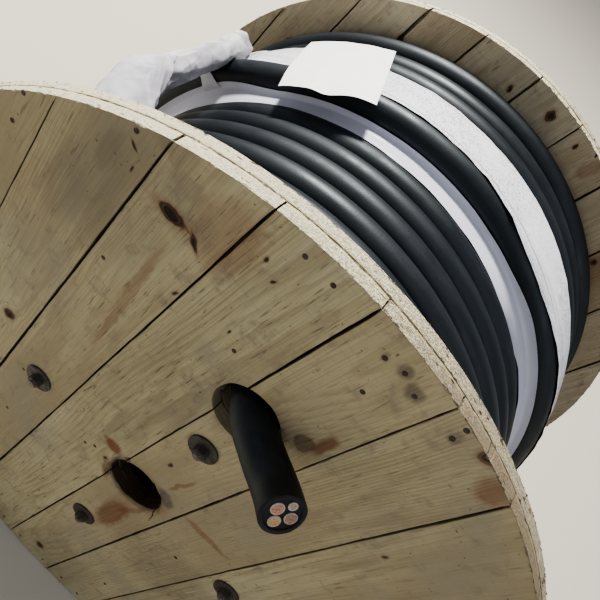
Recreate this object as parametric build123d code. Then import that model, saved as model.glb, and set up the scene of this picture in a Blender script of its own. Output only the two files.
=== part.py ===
from build123d import *
import math
import os
import random

os.makedirs("parts", exist_ok=True)

# Wooden cable drum, loaded, standing on the rims of its two flanges.
# Millimetres. Origin: middle of the drum, on the spindle axis.
# Y is the spindle axis, the near flange at -Y. X is sideways, Z is up.

# ---- driving dimensions ----
FLANGE_R = 600.0          # flange radius
BOARD_T = 20.0            # one layer of boards, two layers to a flange
INNER_W = 745.0           # clear width between the flanges
BORE_R = 50.0             # spindle hole
HOLE_R = 48.5             # hole for the cable's inner end, near flange only
HOLE_X, HOLE_Z = 36.0, 335.0
BOARD_GAP = 3.0           # gap between two boards of a layer
NEAR_TILT = 8.3           # lean of the near flange's outer boards from upright
FAR_TILT = 10.0           # lean of the far flange's inner boards

# board joints, measured square to the boards, from the spindle axis
NEAR_OUTER_CUTS = [-519, -404, -282, -170, -41, 75, 188, 306, 426, 536]
NEAR_INNER_CUTS = [-534, -421, -306, -188, -74, 40, 158, 272, 390, 505]
FAR_INNER_CUTS = [-536, -432, -326, -222, -101, 13, 128, 240, 352, 462]
FAR_OUTER_CUTS = [-510, -396, -284, -168, -58, 60, 176, 290, 404, 518]

BARREL_R = 289.0          # outside of the staves
STAVE_T = 22.0
STAVES = 24
STAVE_GAP = 2.0

ROD_R = 6.0
ROD_PCD_R = 222.0
ROD_ANGLES = [82.2, 172.2, 262.2, 352.2]   # from +X towards +Z
ROD_HOLE_R = 7.0
ROD_END = 17.0            # how far a rod stands out of the near face
ROD_END_FAR = 17.0
WASHER_R = 24.0
WASHER_T = 3.0
NUT_AF = 19.0
NUT_H = 10.0

CABLE_D = 53.0            # outside diameter of the cable
LAYER_R = 453.5           # centre radius of the fourth layer's turns
RAISED_R = 499.4          # centre radius of the raised turns
LAST_RAISED_R = 511.5     # the turn jammed against the far flange
# turn centres, measured from the near flange's outer face
LAYER_TURNS = [100.3, 153.4, 206.5, 259.6, 312.7, 365.8, 418.9, 472.0]
RAISED_TURNS = [500.5, 553.0, 605.0, 656.0, 707.5]
LAST_TURN = 758.5

NAIL_HEAD_R = 3.2
NAIL_HEAD_T = 1.5
NAIL_R = 1.6
NAIL_L = 38.0

FULL_W = INNER_W + 4 * BOARD_T
Y_NEAR = -FULL_W / 2                     # near flange's outer face
Y_NEAR_IN = Y_NEAR + 2 * BOARD_T
Y_FAR_IN = -Y_NEAR_IN
Y_FAR = -Y_NEAR


def cyl_y(r, y0, y1, x=0.0, z=0.0):
    """A cylinder along Y between two stations."""
    return Pos(x, (y0 + y1) / 2, z) * Rot(90, 0, 0) * Cylinder(r, y1 - y0)


def ring_y(r_in, r_out, y0, y1):
    return cyl_y(r_out, y0, y1) - cyl_y(r_in, y0 - 1, y1 + 1)


def write(shapes, node):
    solids = []
    for s in shapes if isinstance(shapes, (list, tuple)) else [shapes]:
        solids += list(s.solids())
    shape = solids[0] if len(solids) == 1 else Compound(children=solids)
    export_step(shape, f"parts/{node}.step")


def rod_points():
    return [(ROD_PCD_R * math.cos(math.radians(a)), ROD_PCD_R * math.sin(math.radians(a)))
            for a in ROD_ANGLES]


def across(tilt_deg, x, z):
    """Distance square to boards that lean tilt_deg from upright, top towards +X."""
    a = math.radians(tilt_deg)
    return x * math.cos(a) - z * math.sin(a)


def along(tilt_deg, x, z):
    a = math.radians(tilt_deg)
    return x * math.sin(a) + z * math.cos(a)


def from_board(tilt_deg, c, s):
    """The point c across and s along boards of that lean."""
    a = math.radians(tilt_deg)
    return c * math.cos(a) + s * math.sin(a), -c * math.sin(a) + s * math.cos(a)


def board_disc(y0, y1, tilt_deg, cuts, holes):
    """One layer of a flange: a round sawn from parallel boards, with holes."""
    disc = cyl_y(FLANGE_R, y0, y1)
    slabs = []
    for c in cuts:
        x, z = from_board(tilt_deg, c, 0)
        slabs.append(Pos(x, (y0 + y1) / 2, z) * Rot(0, tilt_deg, 0)
                     * Box(BOARD_GAP, (y1 - y0) + 2, 2.2 * FLANGE_R))
    for slab in slabs:
        disc = disc - slab
    for h in holes:
        disc = disc - h
    return list(disc.solids())


def nail_places(outer_tilt, outer_cuts, inner_tilt, inner_cuts, seed, extra_clear):
    """Nails near both ends of each outer board and over the barrel, clear of
    the joints of both layers and of the holes."""
    rnd = random.Random(seed)
    edges = [-FLANGE_R] + list(outer_cuts) + [FLANGE_R]
    places = []
    for a, b in zip(edges[:-1], edges[1:]):
        mid, half = (a + b) / 2, (b - a) / 2
        if half < 22:
            continue
        wanted = []
        for sign in (-1, 1):
            for side in (-0.52, 0.52):
                c = mid + side * half
                reach = math.sqrt(max(0.0, (FLANGE_R - 24) ** 2 - c * c))
                if reach > 60:
                    wanted.append((c + rnd.uniform(-6, 6), sign * (reach - rnd.uniform(0, 14))))
        for sign in (-1, 1):
            c = mid + rnd.uniform(-0.35, 0.35) * half
            if abs(c) < 275:
                wanted.append((c, sign * (math.sqrt(284.0 ** 2 - c * c) + rnd.uniform(-4, 4))))
        for c, s in wanted:
            for step in (0, 9, -9, 18, -18, 27, -27):
                x, z = from_board(outer_tilt, c, s + step)
                if math.hypot(x, z) > FLANGE_R - 16:
                    continue
                ci = across(inner_tilt, x, z)
                if min(abs(ci - k) for k in inner_cuts) < 9:
                    continue
                if min(abs(across(outer_tilt, x, z) - k) for k in outer_cuts) < 9:
                    continue
                if any(math.hypot(x - p, z - q) < r + 9 for p, q, r in extra_clear):
                    continue
                places.append((x, z))
                break
    return places


def nails(places, y_face, inward):
    """Flush wire nails driven from an outer face, inward = +1 or -1 along Y."""
    out = []
    for x, z in places:
        y_head = y_face + inward * NAIL_HEAD_T
        y_tip = y_face + inward * NAIL_L
        head = cyl_y(NAIL_HEAD_R, min(y_face, y_head), max(y_face, y_head), x, z)
        shank = cyl_y(NAIL_R, min(y_head, y_tip), max(y_head, y_tip), x, z)
        out.append(head + shank)
    return out


# ---- holes shared by the layers ----
rods_xy = rod_points()
near_holes = [cyl_y(BORE_R, Y_NEAR - 5, Y_NEAR_IN + 5),
              cyl_y(HOLE_R, Y_NEAR - 5, Y_NEAR_IN + 5, HOLE_X, HOLE_Z)]
far_holes = [cyl_y(BORE_R, Y_FAR_IN - 5, Y_FAR + 5)]
for x, z in rods_xy:
    near_holes.append(cyl_y(ROD_HOLE_R, Y_NEAR - 5, Y_NEAR_IN + 5, x, z))
    far_holes.append(cyl_y(ROD_HOLE_R, Y_FAR_IN - 5, Y_FAR + 5, x, z))

clear_near = [(0, 0, BORE_R), (HOLE_X, HOLE_Z, HOLE_R)] + [(x, z, WASHER_R) for x, z in rods_xy]
clear_far = [(0, 0, BORE_R)] + [(x, z, WASHER_R) for x, z in rods_xy]

# nails of the near flange where the photo shows them, the rest by the same rule
SEEN_NAILS = [(-37, 578), (0, 577), (82, 558), (105, 562), (128, 550), (182, 565), (182, 545),
              (95, 505), (204, 515), (-213, 360), (-27, 408), (-280, 12), (-250, 12), (-375, 465),
              (-380, 420), (-240, 541), (-88, 0), (-104, -15), (88, -55), (130, -78), (167, -70),
              (95, -400)]


def on_timber(x, z):
    return (min(abs(across(NEAR_TILT, x, z) - k) for k in NEAR_OUTER_CUTS) > 7
            and min(abs(across(NEAR_TILT + 90, x, z) - k) for k in NEAR_INNER_CUTS) > 7
            and all(math.hypot(x - p, z - q) > r + 7 for p, q, r in clear_near))


near_nail_places = [p for p in SEEN_NAILS if on_timber(*p)]
near_nail_places += [p for p in nail_places(NEAR_TILT, NEAR_OUTER_CUTS, NEAR_TILT + 90,
                                            NEAR_INNER_CUTS, 11, clear_near)
                     if p[0] < -130 and p[1] < 60 or p[1] < -330]
far_nail_places = nail_places(FAR_TILT + 90, FAR_OUTER_CUTS, FAR_TILT, FAR_INNER_CUTS,
                              23, clear_far)
near_nails = nails(near_nail_places, Y_NEAR, +1)
far_nails = nails(far_nail_places, Y_FAR, -1)

# ---- flanges ----
write(board_disc(Y_NEAR, Y_NEAR + BOARD_T, NEAR_TILT, NEAR_OUTER_CUTS, near_holes + near_nails),
      "near_flange_outer_boards")
write(board_disc(Y_NEAR + BOARD_T, Y_NEAR_IN, NEAR_TILT + 90, NEAR_INNER_CUTS,
                 near_holes + near_nails), "near_flange_inner_boards")
write(board_disc(Y_FAR_IN, Y_FAR_IN + BOARD_T, FAR_TILT, FAR_INNER_CUTS, far_holes + far_nails),
      "far_flange_inner_boards")
write(board_disc(Y_FAR - BOARD_T, Y_FAR, FAR_TILT + 90, FAR_OUTER_CUTS, far_holes + far_nails),
      "far_flange_outer_boards")
write(near_nails, "near_flange_nails")
write(far_nails, "far_flange_nails")

# ---- barrel ----
staves = []
stave_ring = ring_y(BARREL_R - STAVE_T, BARREL_R, Y_NEAR_IN, Y_FAR_IN)
for k in range(STAVES // 2):
    stave_ring = stave_ring - (Rot(0, k * 360.0 / STAVES, 0)
                               * Box(2.2 * BARREL_R, INNER_W + 2, STAVE_GAP))
write(list(stave_ring.solids()), "barrel_staves")

# ---- tie rods, washers and nuts ----
rods, washers, nuts = [], [], []
for x, z in rods_xy:
    rods.append(cyl_y(ROD_R, Y_NEAR - ROD_END, Y_FAR + ROD_END_FAR, x, z))
    for y0, y1, y2 in ((Y_NEAR, Y_NEAR - WASHER_T, Y_NEAR - WASHER_T - NUT_H),
                       (Y_FAR, Y_FAR + WASHER_T, Y_FAR + WASHER_T + NUT_H)):
        lo, hi = min(y0, y1), max(y0, y1)
        washers.append(cyl_y(WASHER_R, lo, hi, x, z) - cyl_y(ROD_R, lo - 1, hi + 1, x, z))
        lo, hi = min(y1, y2), max(y1, y2)
        hexagon = RegularPolygon(NUT_AF / 2, 6, major_radius=False)
        nut = Pos(x, hi, z) * Rot(90, 0, 0) * extrude(hexagon, NUT_H)
        nuts.append(nut - cyl_y(ROD_R, lo - 1, hi + 1, x, z))
write(rods, "tie_rods")
write(washers, "tie_rod_washers")
write(nuts, "tie_rod_nuts")

# ---- wound cable: one turned solid, its turns showing as rounded ribs ----
CR = CABLE_D / 2


def station(y_from_near):
    return Y_NEAR + y_from_near


profile = Polygon((BARREL_R + 0.3, Y_NEAR_IN), (LAYER_R - 38.0, Y_NEAR_IN),
                  (LAYER_R - 38.0, station(LAYER_TURNS[0])), (LAYER_R + 6.0, station(LAYER_TURNS[0])),
                  (LAYER_R + 6.0, station(RAISED_TURNS[0])), (RAISED_R + 6.0, station(RAISED_TURNS[0])),
                  (RAISED_R + 6.0, Y_FAR_IN), (BARREL_R + 0.3, Y_FAR_IN), align=None)
for y in LAYER_TURNS:
    profile += Pos(LAYER_R, station(y)) * Circle(CR)
for y in RAISED_TURNS:
    profile += Pos(RAISED_R, station(y)) * Circle(CR)
profile += Pos(LAST_RAISED_R, station(LAST_TURN)) * Circle(CR)
wound = revolve(profile, axis=Axis.Y, revolution_arc=360)
write(wound, "wound_cable")

# ---- the cable's inner end, out through the near flange ----
# (x, z, distance out of the near flange's outer face)
END_ROUTE = [(17.0, 340.5, -40.0), (41.5, 344.0, 3.0), (80.0, 354.0, 35.0),
             (110.0, 366.0, 59.0), (128.0, 385.0, 88.0)]
pts = [(x, Y_NEAR - out, z) for x, z, out in END_ROUTE]


def turn_radius(p, q, r):
    a = Vector(*q) - Vector(*p)
    b = Vector(*r) - Vector(*q)
    ang = math.radians(a.get_angle(b))
    return 0.45 * min(a.length, b.length) / math.tan(ang / 2)


radii = [turn_radius(pts[i - 1], pts[i], pts[i + 1]) for i in range(1, len(pts) - 1)]
print("inner end bend radii", [round(r, 1) for r in radii])
route = FilletPolyline(*pts, radius=radii)
start_dir = Vector(*pts[1]) - Vector(*pts[0])
section = Plane(origin=pts[0], z_dir=start_dir) * Circle(CR)
end_tube = sweep(section, path=route)
# trimmed flat against the wound cable's end
end_tube = end_tube - Box(600, 200, 600).moved(Location((HOLE_X, Y_NEAR_IN + 100, HOLE_Z)))
write(end_tube, "cable_inner_end")
print("inner end length", round(route.length, 1), "volume ratio",
      round(end_tube.volume / (math.pi * CR * CR * route.length), 4))

# ---- wraps ----
CREST = LAYER_R + CR
RAISED_CREST = RAISED_R + CR
FILM_T = 2.0
narrow = ring_y(CREST + 0.3, CREST + 0.3 + FILM_T, station(425), station(478))
write(narrow, "narrow_white_strip")
wide = ring_y(RAISED_CREST + 0.3, RAISED_CREST + 0.3 + FILM_T, station(507), station(640))
write(wide, "wide_white_strip")


def arc_plate(r0, r1, y0, y1, a0, a1):
    """Part of a ring between two angles from +Z towards +X."""
    ring = ring_y(r0, r1, y0, y1)
    n = [(0.0, 0.0)]
    steps = 6
    for i in range(steps + 1):
        a = math.radians(a0 + (a1 - a0) * i / steps)
        n.append((2 * r1 * math.sin(a), 2 * r1 * math.cos(a)))
    # a wedge in the XZ plane, drawn from the axis
    wedge = extrude(Plane.XZ * Polygon(*n, align=None), 600, both=True)
    return ring & wedge


SHEET_R0 = RAISED_CREST + 0.3 + FILM_T + 0.3
write(arc_plate(SHEET_R0, SHEET_R0 + 1.5, station(400), station(736), -41, -17), "white_sheet")
write(arc_plate(RAISED_CREST + 0.3, RAISED_CREST + 1.8, station(447), station(505), -58, -50),
      "cross_strip")

# the loose tail, a closed block that runs from the wide strip to the near rim:
# (distance from the near outer face, angle from +Z, radius, half width, half height)
TAIL = [(46, -31.5, 573, 48, 18), (130, -36.5, 571, 50, 19), (280, -42.5, 571, 42, 20),
        (430, -48.0, 565, 36, 19), (540, -51.0, 560, 32, 18), (625, -52.3, 557, 22, 14)]
tail_faces = []
for y, deg, r, half_w, half_h in TAIL:
    a = math.radians(deg)
    corners = []
    for i, j in ((-1, -1), (1, -1), (1, 1), (-1, 1)):
        corners.append((r * math.sin(a) + i * half_w * math.cos(a) + j * half_h * math.sin(a),
                        station(y),
                        r * math.cos(a) - i * half_w * math.sin(a) + j * half_h * math.cos(a)))
    tail_faces.append(make_face(Polyline(*corners, close=True)))
write(loft(tail_faces, ruled=True), "strip_tail")
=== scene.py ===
import bpy
import math
import random
import numpy as np
from mathutils import Matrix, Vector
from mathutils.geometry import delaunay_2d_cdt


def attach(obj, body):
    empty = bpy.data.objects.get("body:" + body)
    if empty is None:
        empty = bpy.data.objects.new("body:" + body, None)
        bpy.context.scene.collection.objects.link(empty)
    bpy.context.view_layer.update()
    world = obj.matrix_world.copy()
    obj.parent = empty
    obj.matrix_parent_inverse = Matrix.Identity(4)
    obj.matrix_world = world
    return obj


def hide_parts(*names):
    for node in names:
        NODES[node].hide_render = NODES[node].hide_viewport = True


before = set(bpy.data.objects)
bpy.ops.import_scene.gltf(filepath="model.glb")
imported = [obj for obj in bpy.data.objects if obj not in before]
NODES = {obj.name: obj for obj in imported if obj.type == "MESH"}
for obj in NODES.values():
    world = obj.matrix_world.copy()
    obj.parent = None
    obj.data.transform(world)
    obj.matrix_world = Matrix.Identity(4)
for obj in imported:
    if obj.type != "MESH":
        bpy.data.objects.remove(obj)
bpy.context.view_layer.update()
scene = bpy.context.scene

# ------------------------------------------------------------ dimensions, mm
Y0 = -412.5                       # near flange's outer face
R_FL, T_B, R_BORE = 600.0, 20.0, 50.0
CR = 26.5                         # cable radius
RODS = [(222.0 * math.cos(math.radians(a)), 222.0 * math.sin(math.radians(a)))
        for a in (82.2, 172.2, 262.2, 352.2)]


def vnoise(p, seed=0):
    """Smooth value noise from -1 to 1 at points p."""
    p = np.asarray(p, float).reshape(-1, 3)
    i = np.floor(p).astype(np.int64)
    f = p - i
    f = f * f * (3 - 2 * f)
    out = np.zeros(len(p))
    for dx in (0, 1):
        for dy in (0, 1):
            for dz in (0, 1):
                n = ((i[:, 0] + dx) * 374761393 + (i[:, 1] + dy) * 668265263
                     + (i[:, 2] + dz) * 2147483647 + seed * 1274126177) & 0xffffffff
                n = ((n ^ (n >> 13)) * 1274126177) & 0xffffffff
                v = ((n ^ (n >> 16)) & 0xffffff) / 0xffffff * 2 - 1
                out += v * (f[:, 0] if dx else 1 - f[:, 0]) * (f[:, 1] if dy else 1 - f[:, 1]) \
                    * (f[:, 2] if dz else 1 - f[:, 2])
    return out


def fbm(p, seed=0, octaves=3):
    p = np.asarray(p, float).reshape(-1, 3)
    out, a = np.zeros(len(p)), 1.0
    for k in range(octaves):
        out += a * vnoise(p * 2 ** k + 17.3 * k, seed + k)
        a *= 0.5
    return out


def sstep(x, a, b):
    t = np.clip((np.asarray(x, float) - a) / (b - a), 0, 1)
    return t * t * (3 - 2 * t)


# ------------------------------------------------------------ shaders
class Graph:
    def __init__(self, name, **fixed):
        self.m = bpy.data.materials.new(name)
        self.m.use_nodes = True
        self.t = self.m.node_tree
        self.t.nodes.clear()
        out = self.t.nodes.new("ShaderNodeOutputMaterial")
        self.b = self.t.nodes.new("ShaderNodeBsdfPrincipled")
        self.t.links.new(self.b.outputs[0], out.inputs[0])
        for k, v in fixed.items():
            self.b.inputs[k.replace("_", " ")].default_value = v
        self.pos = self.node("ShaderNodeTexCoord").outputs["Object"]

    def node(self, kind, **props):
        n = self.t.nodes.new(kind)
        for k, v in props.items():
            setattr(n, k, v)
        return n

    def put(self, socket, v):
        if isinstance(v, bpy.types.NodeSocket):
            self.t.links.new(v, socket)
        elif v is not None:
            socket.default_value = v

    def math(self, op, a, b=None, c=None, clamp=False):
        n = self.node("ShaderNodeMath", operation=op, use_clamp=clamp)
        for s, v in zip(n.inputs, (a, b, c)):
            self.put(s, v)
        return n.outputs[0]

    def vmath(self, op, a, b=None):
        n = self.node("ShaderNodeVectorMath", operation=op)
        self.put(n.inputs[0], a)
        self.put(n.inputs[1], b)
        return n.outputs["Value"] if op in ("LENGTH", "DOT_PRODUCT") else n.outputs[0]

    def comb(self, x, y, z):
        n = self.node("ShaderNodeCombineXYZ")
        for s, v in zip(n.inputs, (x, y, z)):
            self.put(s, v)
        return n.outputs[0]

    def sep(self, v):
        n = self.node("ShaderNodeSeparateXYZ")
        self.put(n.inputs[0], v)
        return n.outputs[0], n.outputs[1], n.outputs[2]

    def noise(self, vec, scale=1.0, detail=2.0, rough=0.5):
        n = self.node("ShaderNodeTexNoise")
        self.put(n.inputs["Vector"], vec)
        self.put(n.inputs["Scale"], scale)
        self.put(n.inputs["Detail"], detail)
        self.put(n.inputs["Roughness"], rough)
        return n.outputs["Fac"]

    def step(self, x, a, b, to=(0.0, 1.0)):
        n = self.node("ShaderNodeMapRange", interpolation_type="SMOOTHSTEP")
        for s, v in zip(n.inputs, (x, a, b, to[0], to[1])):
            self.put(s, v)
        return n.outputs[0]

    def ramp(self, fac, stops):
        n = self.node("ShaderNodeValToRGB")
        e = n.color_ramp.elements
        while len(e) < len(stops):
            e.new(0.5)
        for k, (p, v) in enumerate(stops):
            e[k].position = p
            e[k].color = (v, v, v, 1) if isinstance(v, (int, float)) else (*v, 1)
        self.put(n.inputs[0], fac)
        return n.outputs[0]

    def mix(self, fac, a, b, mode="MIX"):
        n = self.node("ShaderNodeMix", data_type="RGBA", blend_type=mode)
        ins = [s for s in n.inputs if s.type == "RGBA"]
        self.put(n.inputs[0], fac)
        for s, v in zip(ins, (a, b)):
            self.put(s, (*v, 1) if isinstance(v, tuple) and len(v) == 3 else v)
        return [s for s in n.outputs if s.type == "RGBA"][0]

    def attr(self, name):
        return self.node("ShaderNodeAttribute", attribute_name=name)

    def bump(self, height, distance, strength=1.0, normal=None):
        n = self.node("ShaderNodeBump")
        self.put(n.inputs["Strength"], strength)
        self.put(n.inputs["Distance"], distance)
        self.put(n.inputs["Height"], height)
        self.put(n.inputs["Normal"], normal)
        return n.outputs[0]


def pine(name, knots=(), stains=(), light=(0.47, 0.355, 0.175), dark=(0.235, 0.150, 0.060),
         rim=(0.86, 0.81, 0.60), boards=True, dim=0.0, lift=(1.10, 1.28, 1.62), smudges=()):
    """Sawn pine. Knots, stains and smudges are (x, z, across, tall, turn, strength) in mm."""
    g = Graph(name, Roughness=0.78, IOR=1.45)
    g.b.inputs["Specular IOR Level"].default_value = 0.28
    if boards:
        grain, board = g.attr("grain").outputs["Vector"], g.attr("board").outputs["Vector"]
        edge = g.attr("edge").outputs["Fac"]
    else:
        x, y, z = g.sep(g.pos)
        grain = g.comb(g.math("ARCTAN2", x, z), 0.0, y)
        board = (0.4, 0.6, 0.3)
        edge = 0.0
    c, d, s = g.sep(grain)
    r1, r2, r3 = g.sep(board)
    wander = g.noise(g.comb(g.math("MULTIPLY", r1, 31.0), g.math("MULTIPLY", r2, 17.0), s), 1.7, 1.0)
    pc = g.math("MULTIPLY_ADD", wander, 0.075, g.math("MULTIPLY_ADD", r1, 0.15, -0.1125))
    pd = g.math("MULTIPLY_ADD", s, g.math("MULTIPLY_ADD", r3, 0.10, -0.05),
                g.math("MULTIPLY_ADD", r2, -0.085, -0.012))
    dc, dd = g.math("SUBTRACT", c, pc), g.math("SUBTRACT", d, pd)
    wob = g.noise(g.comb(g.math("ADD", c, g.math("MULTIPLY", r1, 9.0)), d, g.math("MULTIPLY", s, 0.22)),
                  26.0, 2.0)
    rad = g.math("ADD", g.math("SQRT", g.math("ADD", g.math("MULTIPLY", dc, dc),
                                              g.math("MULTIPLY", dd, dd))),
                 g.math("MULTIPLY", wob, 0.010))
    x, y, z = g.sep(g.pos)
    lens = []
    jit = g.vmath("ADD", g.pos, g.vmath("MULTIPLY", g.node_color(g.pos, 60.0), (0.010, 0.0, 0.010))) \
        if knots or stains else None
    warp = 0.0
    for kx, kz, ra, rb, turn, _ in knots:
        n = g.node("ShaderNodeMapping", vector_type="TEXTURE")
        g.put(n.inputs["Vector"], jit)
        n.inputs["Location"].default_value = (kx / 1000 + 0.005, 0, kz / 1000 + 0.005)
        n.inputs["Rotation"].default_value = (0, math.radians(turn), 0)
        n.inputs["Scale"].default_value = (ra / 1000, 1, rb / 1000)
        ln = g.vmath("LENGTH", g.vmath("MULTIPLY", n.outputs[0], (1, 0, 1)))
        lens.append(ln)
        if ra * rb > 60:
            warp = g.math("ADD", warp, g.step(ln, 3.4, 0.6, (0.0, 0.006)))
    rings = g.math("FRACT", g.math("DIVIDE", g.math("ADD", rad, warp),
                                   g.math("MULTIPLY_ADD", r2, 0.0022, 0.0042)))
    late = g.ramp(rings, [(0.0, 0.10), (0.45, 0.16), (0.80, 0.85), (0.90, 1.0), (1.0, 0.10)])
    fibre = g.noise(g.comb(g.math("MULTIPLY", c, 520.0), g.math("MULTIPLY", d, 520.0),
                           g.math("MULTIPLY", s, 9.0)), 1.0, 3.0, 0.65)
    saw = g.noise(g.comb(g.math("MULTIPLY", c, 5.0), 0.0, g.math("MULTIPLY", s, 330.0)), 1.0, 1.5, 0.6)
    tone = g.noise(g.comb(g.math("MULTIPLY", c, 7.0), r3, g.math("MULTIPLY", s, 1.6)), 1.0, 3.0, 0.6)
    patch = g.noise(g.vmath("MULTIPLY", g.pos, (5.0, 5.0, 5.0)), 1.0, 4.0, 0.6)
    ringy = g.math("MULTIPLY", late, g.step(g.noise(g.comb(g.math("MULTIPLY", c, 16.0), r1, g.math("MULTIPLY", s, 5.0)),
                                                    1.0, 3.0, 0.6), 0.30, 0.70, (0.18, 0.62)))
    col = g.mix(ringy, light, dark)
    col = g.mix(g.step(fibre, 0.38, 0.72, (0.0, 0.42)), col, tuple(v * 0.62 for v in dark))
    dash = g.noise(g.comb(g.math("MULTIPLY", c, 300.0), g.math("MULTIPLY", r2, 9.0), g.math("MULTIPLY", s, 30.0)), 1.0, 1.0, 0.4)
    col = g.mix(g.step(dash, 0.66, 0.77, (0.0, 0.72)), col, (0.075, 0.048, 0.024))
    col = g.mix(g.step(tone, 0.44, 0.66, (0.0, 0.70)), col, (0.25, 0.175, 0.085))
    flame = g.noise(g.comb(g.math("MULTIPLY", c, 34.0), g.math("MULTIPLY", r1, 5.0), g.math("MULTIPLY", s, 4.5)),
                    1.0, 4.0, 0.62)
    col = g.mix(g.step(flame, 0.54, 0.72, (0.0, 0.55)), col, (0.20, 0.135, 0.065))
    col = g.mix(g.step(tone, 0.46, 0.25, (0.0, 0.42)), col, (0.58, 0.48, 0.27))
    col = g.mix(g.step(patch, 0.48, 0.68, (0.0, 0.48)), col, (0.235, 0.195, 0.125))
    grime = g.noise(g.vmath("MULTIPLY", g.pos, (38.0, 38.0, 38.0)), 1.0, 5.0, 0.7)
    col = g.mix(g.step(grime, 0.52, 0.74, (0.0, 0.58)), col, (0.155, 0.122, 0.080))
    pin = g.noise(g.pos, 190.0, 1.0, 0.5)
    col = g.mix(g.step(pin, 0.745, 0.80, (0.0, 0.80)), col, (0.060, 0.042, 0.026))
    col = g.mix(g.math("MULTIPLY", g.step(saw, 0.5, 0.72), 0.16), col, (0.20, 0.14, 0.08))
    col = g.mix(g.math("MULTIPLY_ADD", r3, 0.30, -0.02, clamp=True), col, (0.40, 0.27, 0.13))
    sunk = None
    marks = [(t, (0.155, 0.046, 0.014)) for t in stains] + [(t, (0.112, 0.080, 0.050)) for t in smudges]
    for (kx, kz, ra, rb, turn, k), tint in marks:
        n = g.node("ShaderNodeMapping", vector_type="TEXTURE")
        g.put(n.inputs["Vector"], jit)
        n.inputs["Location"].default_value = (kx / 1000 + 0.005, 0, kz / 1000 + 0.005)
        n.inputs["Rotation"].default_value = (0, math.radians(turn), 0)
        n.inputs["Scale"].default_value = (ra / 1000, 1, rb / 1000)
        ln = g.vmath("LENGTH", g.vmath("MULTIPLY", n.outputs[0], (1, 0, 1)))
        f = g.math("MULTIPLY", g.step(ln, 1.2, 0.55, (0.0, k)), g.step(fibre, 0.2, 0.7, (0.75, 1.0)))
        col = g.mix(f, col, tint)
    for ln, (kx, kz, ra, rb, turn, k) in zip(lens, knots):
        halo = g.step(ln, 1.9, 0.95, (0.0, 0.45 * k))
        col = g.mix(halo, col, (0.20, 0.088, 0.036))
        core = g.step(ln, 1.12, 0.86, (0.0, k))
        inner = g.mix(g.step(g.math("FRACT", g.math("MULTIPLY", ln, 3.0)), 0.3, 0.9),
                      (0.050, 0.024, 0.012), (0.095, 0.045, 0.020))
        col = g.mix(core, col, inner)
        if k < 0.6:
            continue
        # painted shade: the strongest knots get a near-black centre where the bump sinks a pit
        hole = g.step(ln, 0.62, 0.40)
        sunk = hole if sunk is None else g.math("MAXIMUM", sunk, hole)
        col = g.mix(g.math("MULTIPLY", hole, 0.8 * k), col, (0.012, 0.008, 0.006))
    col = g.mix(1.0, col, lift, "MULTIPLY")
    # freshly sawn rim, cream and furred
    fur = g.noise(g.vmath("MULTIPLY", g.pos, (400.0, 560.0, 400.0)), 1.0, 4.0, 0.75)
    # fur and specks on the rim are weaker towards -X, so the rim is lighter on the left
    marks_fade_left = g.step(x, -0.22, 0.10, (0.38, 1.0))
    raw = g.mix(g.math("MULTIPLY", g.step(fur, 0.47, 0.56, (0.0, 0.80)), marks_fade_left), rim, (0.27, 0.225, 0.14))
    speck = g.noise(g.pos, 700.0, 2.0, 0.7)
    raw = g.mix(g.math("MULTIPLY", g.step(speck, 0.54, 0.61, (0.0, 0.88)), marks_fade_left), raw, (0.105, 0.082, 0.050))
    tuft = g.noise(g.vmath("MULTIPLY", g.pos, (110.0, 200.0, 110.0)), 1.0, 3.0, 0.7)
    raw = g.mix(g.step(tuft, 0.56, 0.68, (0.0, 0.50)), raw, (0.30, 0.25, 0.155))
    # painted shade: the sawn rim darkens towards +X, away from the key light, by the dim amount
    if dim:
        far_x = g.math("MULTIPLY_ADD", tuft, 0.24, g.math("SUBTRACT", x, 0.12))
        raw = g.mix(g.step(far_x, -0.03, 0.20, (0.0, dim)), raw, (0.175, 0.135, 0.088))
    raw = g.mix(g.math("MULTIPLY", late, 0.10), raw, (0.45, 0.30, 0.15))
    raw = g.mix(g.step(grime, 0.58, 0.76, (0.0, 0.45)), raw, (0.36, 0.28, 0.18))
    if boards:
        col = g.mix(g.step(edge, 0.0, 1.0), col, raw)
        # painted shade: negative edge values darken the board sides in the gaps, the bore and hole walls, the bore's
        # mouth and the back-face edges, down to near black
        col = g.mix(g.step(edge, 0.0, -1.0), col, (0.045, 0.028, 0.015))
        col = g.mix(g.step(edge, -1.05, -2.0), col, (0.009, 0.007, 0.005))
    g.put(g.b.inputs["Base Color"], col)
    g.put(g.b.inputs["Roughness"], g.step(late, 0.0, 1.0, (0.84, 0.62)))
    h = g.math("MULTIPLY_ADD", late, 0.30, g.math("MULTIPLY", fibre, 0.55))
    h = g.math("MULTIPLY_ADD", saw, 0.45, h)
    h = g.math("MULTIPLY_ADD", g.math("MULTIPLY", fur, g.math("MAXIMUM", edge, 0.0)), 3.0, h)
    if sunk is not None:
        h = g.math("MULTIPLY_ADD", sunk, -3.0, h)
    g.put(g.b.inputs["Normal"], g.bump(h, 0.0011, 0.85))
    return g.m


def node_color(self, vec, scale):
    n = self.node("ShaderNodeTexNoise")
    self.put(n.inputs["Vector"], vec)
    self.put(n.inputs["Scale"], scale)
    self.put(n.inputs["Detail"], 1.0)
    return self.vmath("SUBTRACT", n.outputs["Color"], (0.5, 0.5, 0.5))


Graph.node_color = node_color


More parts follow.
